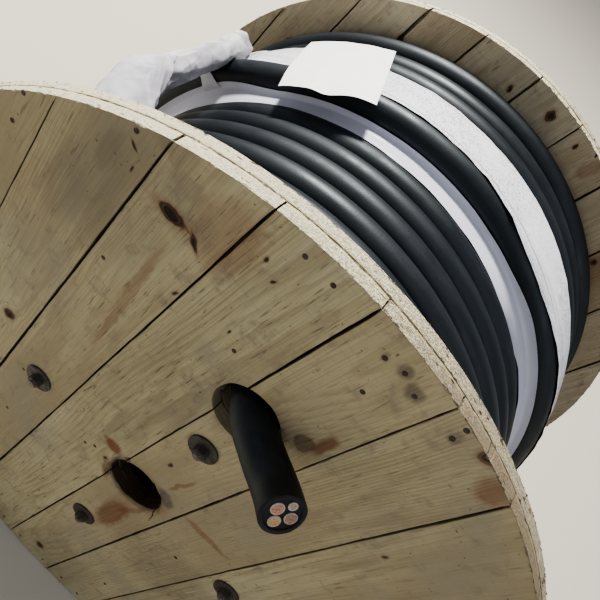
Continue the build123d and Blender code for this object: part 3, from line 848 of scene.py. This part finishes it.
# the inner end, out through the near flange
route = np.array([(17.0, 340.5, -40.0), (41.5, 344.0, 3.0), (80.0, 354.0, 35.0), (110.0, 366.0, 59.0),
                  (128.0, 385.0, 88.0)])
line = np.column_stack([route[:, 0], Y0 - route[:, 2], route[:, 1]])
for _ in range(3):
    q = [line[0]]
    for p0, p1 in zip(line[:-1], line[1:]):
        q += [p0 * 0.75 + p1 * 0.25, p0 * 0.25 + p1 * 0.75]
    line = np.array(q + [line[-1]])
seglen = np.r_[0, np.cumsum(np.linalg.norm(np.diff(line, axis=0), axis=1))]
u = np.linspace(0, seglen[-1], 34)
line = np.stack([np.interp(u, seglen, line[:, k]) for k in range(3)], 1)
tan = np.gradient(line, axis=0)
tan /= np.linalg.norm(tan, axis=1)[:, None]
SEG = 40
V, F = [], []
ref = np.array([0.0, 0.0, 1.0])
for k, (p, t) in enumerate(zip(line, tan)):
    a1 = np.cross(t, ref)
    a1 /= np.linalg.norm(a1)
    a2 = np.cross(a1, t)
    for j in range(SEG):
        f = 2 * math.pi * j / SEG
        rr = CR + 0.25 * math.sin(3 * f + k * 0.4)
        V.append(p + rr * (math.cos(f) * a1 + math.sin(f) * a2))
end_n, end_1, end_2, end_p = tan[-1], a1, a2, line[-1]
rings = [(0.0, 0.0, 1.0)]
# rounded lip, a flat cut sheath, then the fill sunk a little between the cores
lip = [(25.9, 0.55), (24.6, 0.95), (21.4, 0.80), (20.9, 0.25), (20.4, -0.9), (12.0, -1.1), (4.0, -1.1)]
for r, h in lip:
    for j in range(SEG):
        f = 2 * math.pi * j / SEG
        jag = 0.25 * math.sin(5 * f + r) + 0.18 * math.sin(11 * f + 2 * r)
        V.append(end_p + (r + (jag if r > 20 else 0)) * (math.cos(f) * end_1 + math.sin(f) * end_2)
                 + (h + 0.2 * jag) * end_n)
n_ring = len(line) + len(lip)
for i in range(n_ring - 1):
    for j in range(SEG):
        p, q = i * SEG + j, i * SEG + (j + 1) % SEG
        F.append((p, q, q + SEG, p + SEG))
F.append(tuple((n_ring - 1) * SEG + j for j in range(SEG)))
F.append(tuple(range(SEG))[::-1])
index = [1 if (i // SEG) >= len(line) - 1 else 0 for i in range((n_ring - 1) * SEG)] + [1, 0]
stub = make("cable_end", np.array(V) / 1000, F, [black, scuffed], angle=50, index=index)
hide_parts("cable_inner_end")


def plug(centre, radius, h0, h1, seg=24):
    """A closed disc standing on the cut face."""
    c = end_p + centre[0] * end_1 + centre[1] * end_2
    V, F = [], []
    for r, h in ((radius, h0), (radius, h1 - 0.35), (radius - 0.35, h1)):
        for j in range(seg):
            f = 2 * math.pi * j / seg
            V.append(c + r * (math.cos(f) * end_1 + math.sin(f) * end_2) + h * end_n)
    for i in range(2):
        for j in range(seg):
            F.append((i * seg + j, i * seg + (j + 1) % seg, (i + 1) * seg + (j + 1) % seg, (i + 1) * seg + j))
    F.append(tuple(2 * seg + j for j in range(seg)))
    F.append(tuple(range(seg))[::-1])
    return np.array(V), F


def strands(centre, radius, count, h1, seed, wire):
    """A bundle of cut copper wires inside a core, packed in rings."""
    rnd = random.Random(seed)
    V, F, at = [], [], 0
    spots, r = [(0.0, 0.0)], wire * 2.05
    while r < radius - wire * 0.8:
        k = int(2 * math.pi * r / (wire * 2.08))
        off = rnd.uniform(0, 6)
        spots += [(r * math.cos(off + 2 * math.pi * i / k), r * math.sin(off + 2 * math.pi * i / k))
                  for i in range(k)]
        r += wire * 1.86
    for x, y in spots:
        h = h1 + rnd.uniform(-0.28, 0.32)
        v, f = plug((centre[0] + x, centre[1] + y), wire, -0.9, h, 8)
        V.append(v)
        F += [tuple(i + at for i in t) for t in f]
        at += len(v)
    return np.concatenate(V), F


cu1 = copper("copper_pink", (0.86, 0.50, 0.37), (0.64, 0.31, 0.21))
cu2 = copper("copper_yellow", (0.86, 0.62, 0.36), (0.66, 0.42, 0.21))
cu3 = copper("copper_brown", (0.60, 0.39, 0.31), (0.38, 0.22, 0.17))
cu4 = copper("copper_tinned", (0.66, 0.52, 0.44), (0.50, 0.40, 0.35))
skin_a = plain("core_skin_pale", (0.56, 0.50, 0.42))
CORES = [((-8.2, 5.4), 8.0, cu1, skin_a), ((-4.2, -10.6), 7.4, cu2, skin_a), ((11.2, -2.4), 7.6, cu3, skin_a),
         ((6.2, 12.8), 5.6, cu4, skin_a)]
cores = []
for k, (c, r, cu, skin) in enumerate(CORES):
    c = (-c[0], c[1]) if end_1[0] < 0 else c
    v, f = plug(c, r, -1.3, 0.35)
    cores.append(make(f"core_skin_{k + 1}", v / 1000, f, skin, angle=40))
    v, f = strands(c, r - 0.7, 0, 0.85, 60 + k, 0.78)
    cores.append(make(f"core_wires_{k + 1}", v / 1000, f, cu, smooth=False))


# ------------------------------------------------------------ wraps
def shell(name, G, t, material, ring=False, flip=False):
    """A thin closed sheet from a grid of points in mm. Its outside is the grid."""
    n, m, _ = G.shape
    di = (np.roll(G, -1, 0) - np.roll(G, 1, 0)) if ring else np.gradient(G, axis=0)
    dj = np.gradient(G, axis=1)
    N = np.cross(di, dj)
    N /= np.linalg.norm(N, axis=2)[..., None] + 1e-9
    if flip:
        N = -N
    top, low = G, G - N * t
    V = np.concatenate([top.reshape(-1, 3), low.reshape(-1, 3)])
    V[:, 1] += Y0
    k = n * m
    F = []
    rows = n if ring else n - 1
    for i in range(rows):
        a, b = i * m, ((i + 1) % n) * m
        for j in range(m - 1):
            q = (a + j, b + j, b + j + 1, a + j + 1)
            F += [q, tuple(x + k for x in q[::-1])]
        for j, s in ((0, 1), (m - 1, -1)):
            q = (b + j, a + j, a + j + k, b + j + k)
            F.append(q[::s])
    if not ring:
        for i, s in ((0, 1), (n - 1, -1)):
            for j in range(m - 1):
                q = (i * m + j, i * m + j + 1, i * m + j + 1 + k, i * m + j + k)
                F.append(q[::s])
    if flip:
        F = [f[::-1] for f in F]
    ob = make(name, V / 1000, F, material, angle=70)
    du = np.linalg.norm(np.diff(G, axis=0), axis=2).mean(1)
    dv = np.linalg.norm(np.diff(G, axis=1), axis=2).mean(0)
    U = np.r_[0, np.cumsum(du)]
    W = np.r_[0, np.cumsum(dv)]
    uv = np.stack(np.meshgrid(U, W, indexing="ij") + [np.zeros((n, m))], 2).reshape(-1, 3) / 1000 \
        if isinstance(np.meshgrid(U, W, indexing="ij"), list) else \
        np.stack([*np.meshgrid(U, W, indexing="ij"), np.zeros((n, m))], 2).reshape(-1, 3) / 1000
    attribute(ob, "cloth", np.concatenate([uv, uv]))
    size = (float(W[-1] / 1000), float((U[-1] + (du.mean() if ring else 0)) / 1000))
    quads = G[1:, 1:] - G[:-1, :-1], G[1:, :-1] - G[:-1, 1:]
    area = float(np.linalg.norm(np.cross(quads[0], quads[1]), axis=2).sum() / 2e6)
    if ring:
        area *= n / (n - 1)
    return ob, size, area


def polar(theta, r, y):
    return np.stack([r * np.sin(theta), y, r * np.cos(theta)], -1)


def hull(y, r):
    keep = []
    for p in zip(y, r):
        while len(keep) > 1 and (keep[-1][0] - keep[-2][0]) * (p[1] - keep[-2][1]) \
                - (keep[-1][1] - keep[-2][1]) * (p[0] - keep[-2][0]) >= 0:
            keep.pop()
        keep.append(p)
    return np.array(keep)


def along(line_pts, m):
    s = np.r_[0, np.cumsum(np.linalg.norm(np.diff(line_pts, axis=0), axis=1))]
    t = np.linspace(0, s[-1], m)
    return np.stack([np.interp(t, s, line_pts[:, k]) for k in range(2)], 1)


def strip_ring(near, far, cols, clear, wrinkle, seed, steps=420, calm=None, gap=1.2, tail=(), fold=None):
    """A strip tied round the pack between two wavy edges, stretched over the turns."""
    rows = []
    deg = np.linspace(-180, 180, steps, endpoint=False)
    for a in deg:
        y = np.arange(near(a), far(a) + 0.5, 1.0)
        r = np.maximum(pack_r(a, y) + clear, np.maximum(pack_r(a, y + gap), pack_r(a, y - gap)) + 0.3)
        top = hull(y, r)
        if tail:
            end = tail(a)
            top = np.concatenate([top[top[:, 0] <= end[0][0] - 1.5], np.array(end)])
        rows.append(along(top, cols))
    rows = np.array(rows)
    nb = np.gradient(rows, axis=1)
    nor = np.stack([-nb[..., 1], nb[..., 0]], -1)
    nor /= np.linalg.norm(nor, axis=2)[..., None] + 1e-9
    A, J = np.meshgrid(np.radians(deg), np.arange(cols), indexing="ij")
    q = lambda fa, fj, sd: vnoise(np.stack([np.cos(A).ravel() * fa, np.sin(A).ravel() * fa,
                                            J.ravel() * fj], 1), sd).reshape(A.shape)
    w = 0.5 + 0.5 * q(4, 5.0 / cols, seed)
    w = w + 0.7 * np.clip(q(13, 7.0 / cols, seed + 1), 0, 1) ** 1.5
    w = w + 0.5 * np.clip(q(30, 9.0 / cols, seed + 2), 0, 1)
    end = np.minimum(J, cols - 1 - J) / cols
    w = w * wrinkle + 1.6 * np.clip(q(9, 0.01, seed + 4), 0, 1) * np.exp(-end * 22)
    if calm is not None:
        w = w * calm(np.degrees(A))
    if fold is not None:
        w = w + fold(np.degrees(A), J / (cols - 1))
    rows = rows + nor * w[..., None]
    return polar(A, rows[..., 1], rows[..., 0])


def table(pairs):
    a = np.array(pairs, float)
    return lambda x: float(np.interp(x, a[:, 0], a[:, 1]))


def lag(a):
    """How far the near turns have moved along the drum at this angle, eased out under the drum."""
    return float(y4(np.array([6 - a / 360]))[0] - Y4[7]) * float(1 - sstep(abs(a), 112, 176))


near_a = table([(-180, 0), (18, 0), (30, 11), (42, 24), (60, 28), (110, 28), (180, 0)])


def up_flank(a):
    """The strip's far edge on the raised turn's flank, higher on the shaded side."""
    e = float(sstep(a, 20, 34) * (1 - sstep(a, 105, 150)) + 0.6 * sstep(-a, 40, 54) * (1 - sstep(-a, 105, 150)))
    u = float(lift(a))
    return ((472.0, 481.6 + u), (473.4, 484.0 + u), (474.2, 487.5 + u), (473.9, 491.5 + 3.0 * e + u),
            (473.2, 491.9 + 7.5 * e + u))


narrow = strip_ring(lambda a: 431.0 + lag(a) + near_a(a) + 1.5 * math.sin(math.radians(a * 5)),
                    lambda a: 471.0, 18, 0.8, 0.7, 41,
                    tail=up_flank)
ob_narrow, s, area = shell("narrow_strip", narrow, 0.35, white_thin, ring=True)
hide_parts("narrow_white_strip")

near_b = table([(-180, 500), (-120, 520), (-90, 560), (-75, 585), (-60, 575), (-53, 552), (-49, 530), (-46, 518),
                (-42, 510), (-36, 506), (-28, 502), (-20, 500), (-8, 505), (0, 504), (6, 500), (12, 492), (20, 484),
                (28, 482), (36, 487), (44, 495), (52, 499), (60, 500), (90, 501), (140, 500), (180, 500)])
far_b = table([(-180, 634), (-120, 640), (-80, 650), (-60, 656), (-40, 652), (-28, 646), (-20, 632), (-12, 617),
               (-5, 613), (3, 614), (10, 622), (18, 631), (26, 634), (34, 629), (42, 626), (52, 628), (70, 635),
               (90, 640), (130, 630), (180, 634)])
calm_b = lambda d: 1 - 0.72 * (sstep(d, -48, -42) * (1 - sstep(d, -18, -12)))
fold_b = lambda d, v: 8.0 * np.exp(-((v - 0.60 + 0.006 * (d + 50)) / 0.075) ** 2) \
    * sstep(d, -66, -56) * (1 - sstep(d, -49, -44)) \
    + 6.0 * np.exp(-((v - 0.30 + 0.008 * (d + 45)) / 0.06) ** 2) * sstep(d, -64, -54) * (1 - sstep(d, -40, -33)) \
    + 2.6 * np.exp(-((v - 0.22 - 0.003 * (d - 30)) / 0.05) ** 2) * sstep(d, 8, 20) * (1 - sstep(d, 60, 95)) \
    + 2.0 * np.exp(-((v - 0.72 + 0.004 * (d - 40)) / 0.06) ** 2) * sstep(d, 20, 32) * (1 - sstep(d, 75, 105))
wide = strip_ring(near_b, far_b, 38, 0.8, 2.3, 47, 560, calm_b, fold=fold_b)
ob_wide, s, area = shell("wide_strip", wide, 0.35, white_woven, ring=True)
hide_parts("wide_white_strip")

# the sheet laid over both strips, its near edge standing free
NL, NR, FR, FL = (-31.6, 396.0), (-15.9, 447.0), (-24.6, 706.0), (-43.0, 690.0)
ni, nj = 46, 64
I, J = np.meshgrid(np.linspace(0, 1, ni), np.linspace(0, 1, nj), indexing="ij")
th = (1 - I) * (1 - J) * NL[0] + I * (1 - J) * NR[0] + I * J * FR[0] + (1 - I) * J * FL[0]
yy = (1 - I) * (1 - J) * NL[1] + I * (1 - J) * NR[1] + I * J * FR[1] + (1 - I) * J * FL[1]
wav = lambda fi, fj, sd: vnoise(np.stack([I.ravel() * fi, J.ravel() * fj, 0 * I.ravel()], 1), sd).reshape(I.shape)
free = sstep(500 - yy, 0, 110)
yy = yy + 3.0 * wav(4, 1, 71) * free - 7.0 * np.exp(-((I - 0.52) / 0.17) ** 2) * free
rr = 531.6 + 0.9 * wav(3, 4, 72) + 0.5 * wav(7, 9, 73) - 9.0 * free ** 2 \
    + (3.6 * np.sin(I * 8.2 + 0.6) + 2.2 * wav(6, 2, 74)) * free
rr += 2.2 * np.clip(wav(2.2, 3.2, 75), 0, 1) ** 2
under = np.array([[pack_r(a, np.array([y, y - 3, y + 3])).max() for a, y in zip(ra, ry)]
                  for ra, ry in zip(th, yy)])
rr = np.maximum(rr, under + 5.0)
paper = polar(np.radians(th), rr, yy)
ob_sheet, s, area = shell("white_sheet_over", paper, 0.35, white_paper)
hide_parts("white_sheet")

# short strip from the near turns up over the first raised one to the tail
ni, nj = 12, 22
I, J = np.meshgrid(np.linspace(-1, 1, ni), np.linspace(0, 1, nj), indexing="ij")
tj = np.linspace(0, 1, nj)
swing = np.radians(np.interp(tj, [0, 1], [208, 74]))
mid = np.interp(tj, [0, 0.06, 0.36, 0.66, 1], [-53.0, -53.05, -53.5, -54.9, -55.6])
half = np.interp(tj, [0, 0.06, 0.36, 0.66, 1], [2.3, 2.15, 1.45, 1.2, 1.1])
out_t = np.interp(tj, [0, 0.3, 1], [30.5, 29.2, 28.4])
th = np.radians(mid[None] + I * half[None])
yy = np.tile(500.5 + out_t * np.cos(swing), (ni, 1))
rr = np.tile(512.9 + out_t * np.sin(swing), (ni, 1)) + 0.7 * np.cos(I * 4.4) + 0.4 * np.cos(I * 9.0 + 1.0)
cross = polar(th, rr, yy)
ob_cross, s, area = shell("tie_strip", cross, 0.35, white_thin)
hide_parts("cross_strip")

# the loose tail, gathered along its length
TAIL = np.array([(44, -31.0, 570, 50, 13), (90, -34.0, 571, 51, 15), (150, -37.6, 571, 49, 18),
                 (220, -41.2, 574, 46, 24), (300, -44.5, 563.5, 43, 21), (380, -47.6, 558.5, 41, 22.5),
                 (450, -50.0, 556, 39, 24), (520, -51.6, 556, 32, 25), (575, -52.3, 557, 25, 25),
                 (612, -53.4, 556, 19, 21)])
nt, ns = 190, 110
ty = np.linspace(TAIL[0, 0], TAIL[-1, 0], nt)
ta, tr, tw, thh = (np.interp(ty, TAIL[:, 0], TAIL[:, k]) for k in range(1, 5))
T, S = np.meshgrid(np.linspace(0, 1, nt), np.linspace(0, 1, ns), indexing="ij")
ridge = lambda v: 1 - 2 * np.abs(v)


def tn(ft, fs, sd, slant=0.0):
    q = np.stack([T.ravel() * ft + slant * S.ravel() * fs, S.ravel() * fs - slant * T.ravel() * ft, 0 * T.ravel()], 1)
    return vnoise(q, sd).reshape(T.shape)


# cross-section: a bunched strip, up over the top and folded under itself
ang = (S - 0.5) * 2 * math.pi * 0.93 + 0.5 * tn(2.2, 2, 81)
crush = 0.10 * ridge(tn(3.4, 4.5, 84, 0.4)) + 0.07 * ridge(tn(7, 7, 85, -0.5)) + 0.036 * ridge(tn(13, 13, 86, 0.3)) \
    + 0.014 * ridge(tn(26, 25, 89, -0.3))
lay = np.sin(S * 2 * math.pi * 3.0 + 3.4 * tn(2.6, 1, 82) + 2.2 * T) * (0.45 + 0.55 * tn(3, 2, 83))
hem = sstep(S - 0.10 * np.sin(T * 9), 0.66, 0.69) * (1 - sstep(S, 0.80, 0.90)) * (1 - sstep(T, 0.30, 0.48))
fold = 0.93 + 0.15 * lay + crush - 0.20 * hem
box = lambda v, k: np.sign(v) * np.abs(v) ** k
across_t = tw[:, None] * box(np.sin(ang), 0.72) * fold * 0.92
up_t = thh[:, None] * box(np.cos(ang), 0.80) * fold * 0.92 - 0.12 * thh[:, None]
up_t = up_t + 2.6 * ridge(tn(8, 4, 87, 0.3)) * sstep(np.cos(ang), -0.2, 0.6)
# painted shade: darker in the creases and under the hem, on the underside, and on the flank facing the camera, away
# from the key light
crease_shade = np.clip(0.50 - 1.9 * (crush - 0.06) / 0.12 * 0.35 - 0.35 * lay + 0.55 * hem, 0, 1) \
    * (0.35 + 0.65 * sstep(-np.cos(ang), -0.9, 0.1))
crease_shade = np.clip(crease_shade + (0.42 + 0.22 * tn(3, 3, 91)) * sstep(np.sin(ang), 0.10, 0.70), 0, 1)
a0 = np.radians(ta)[:, None]
x = (tr[:, None] + up_t) * np.sin(a0) + across_t * np.cos(a0)
z = (tr[:, None] + up_t) * np.cos(a0) - across_t * np.sin(a0)
y = ty[:, None] + 7.0 * tn(3, 3, 88) * (1 - np.abs(2 * T - 1) ** 8)
y = y + 9.0 * sstep(T, 0.93, 1.0) * tn(1, 5, 90)
rad = np.hypot(x, z)
lim = 603.0
f = np.where(rad > lim, lim / rad, 1.0)
# it rests on the turns below
g_a, g_y = np.arange(-80.0, -14.0, 1.0), np.arange(36.0, 650.0, 2.0)
floor_r = np.array([pack_r(a, g_y) for a in g_a])
q_a = np.clip((np.degrees(np.arctan2(x, z)) - g_a[0]) / 1.0, 0, len(g_a) - 1.001)
q_y = np.clip((y - g_y[0]) / 2.0, 0, len(g_y) - 1.001)
i_a, i_y = q_a.astype(int), q_y.astype(int)
w_a, w_y = q_a - i_a, q_y - i_y
rest_r = (floor_r[i_a, i_y] * (1 - w_a) + floor_r[i_a + 1, i_y] * w_a) * (1 - w_y) \
    + (floor_r[i_a, i_y + 1] * (1 - w_a) + floor_r[i_a + 1, i_y + 1] * w_a) * w_y + 3.0
f = np.maximum(f, np.where(rad < rest_r, rest_r / rad, 0.0))
tail = np.stack([x * f, np.maximum(y, 42.5), z * f], 2)
ob_tail, s, area = shell("film_tail", tail, 0.35, white_loose)
attribute(ob_tail, "crease_shade", np.concatenate([crease_shade.ravel(), crease_shade.ravel()]), "FLOAT")
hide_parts("strip_tail")

# ------------------------------------------------------------ CAD nodes shown
for node, m in (("barrel_staves", wood_stave), ("near_flange_nails", nail_dark), ("far_flange_nails", nail_dark),
                ("tie_rods", rusty), ("tie_rod_washers", washer_steel), ("tie_rod_nuts", washer_steel)):
    o = NODES[node]
    o.data.materials.clear()
    o.data.materials.append(m)

# ------------------------------------------------------------ floor, light, camera
me = bpy.data.meshes.new("floor")
me.from_pydata([(-9, -9, -0.6), (9, -9, -0.6), (9, 9, -0.6), (-9, 9, -0.6)], [], [(0, 1, 2, 3)])
floor = bpy.data.objects.new("floor", me)
scene.collection.objects.link(floor)
fm = Graph("floor", Roughness=0.9)
fm.b.inputs["Base Color"].default_value = (0.56, 0.525, 0.455, 1)
fm.b.inputs["Specular IOR Level"].default_value = 0.15
me.materials.append(fm.m)


def lamp(name, place, aim, size, power, colour):
    d = bpy.data.lights.new(name, "AREA")
    d.shape, d.size, d.energy, d.color = "DISK", size, power, colour
    o = bpy.data.objects.new(name, d)
    scene.collection.objects.link(o)
    o.location = place
    o.rotation_euler = (Vector(aim) - Vector(place)).to_track_quat("-Z", "Y").to_euler()


lamp("key", (-2.5, 2.5, 5.2), (0, 0, 0.1), 0.85, 820, (1.0, 0.965, 0.90))
lamp("fill", (3.4, -2.4, 2.4), (0, 0, 0), 3.0, 30, (0.90, 0.94, 1.0))
world = bpy.data.worlds.new("studio")
world.use_nodes = True
world.node_tree.nodes["Background"].inputs[0].default_value = (0.90, 0.94, 1.0, 1)
world.node_tree.nodes["Background"].inputs[1].default_value = 0.36
scene.world = world

cam = bpy.data.cameras.new("camera")
cam.lens, cam.sensor_width, cam.clip_start, cam.clip_end = 37.42, 36.0, 0.02, 60
eye = bpy.data.objects.new("camera", cam)
scene.collection.objects.link(eye)
eye.matrix_world = Matrix(((0.7103, -0.7036, 0.0216, 0.0), (0.4968, 0.4793, -0.7235, -0.8477),
                           (0.4987, 0.5246, 0.6900, 0.9494), (0, 0, 0, 1)))
scene.camera = eye
scene.view_settings.view_transform = "AgX"
scene.view_settings.look = "AgX - Medium High Contrast"
scene.view_settings.exposure = 0.1
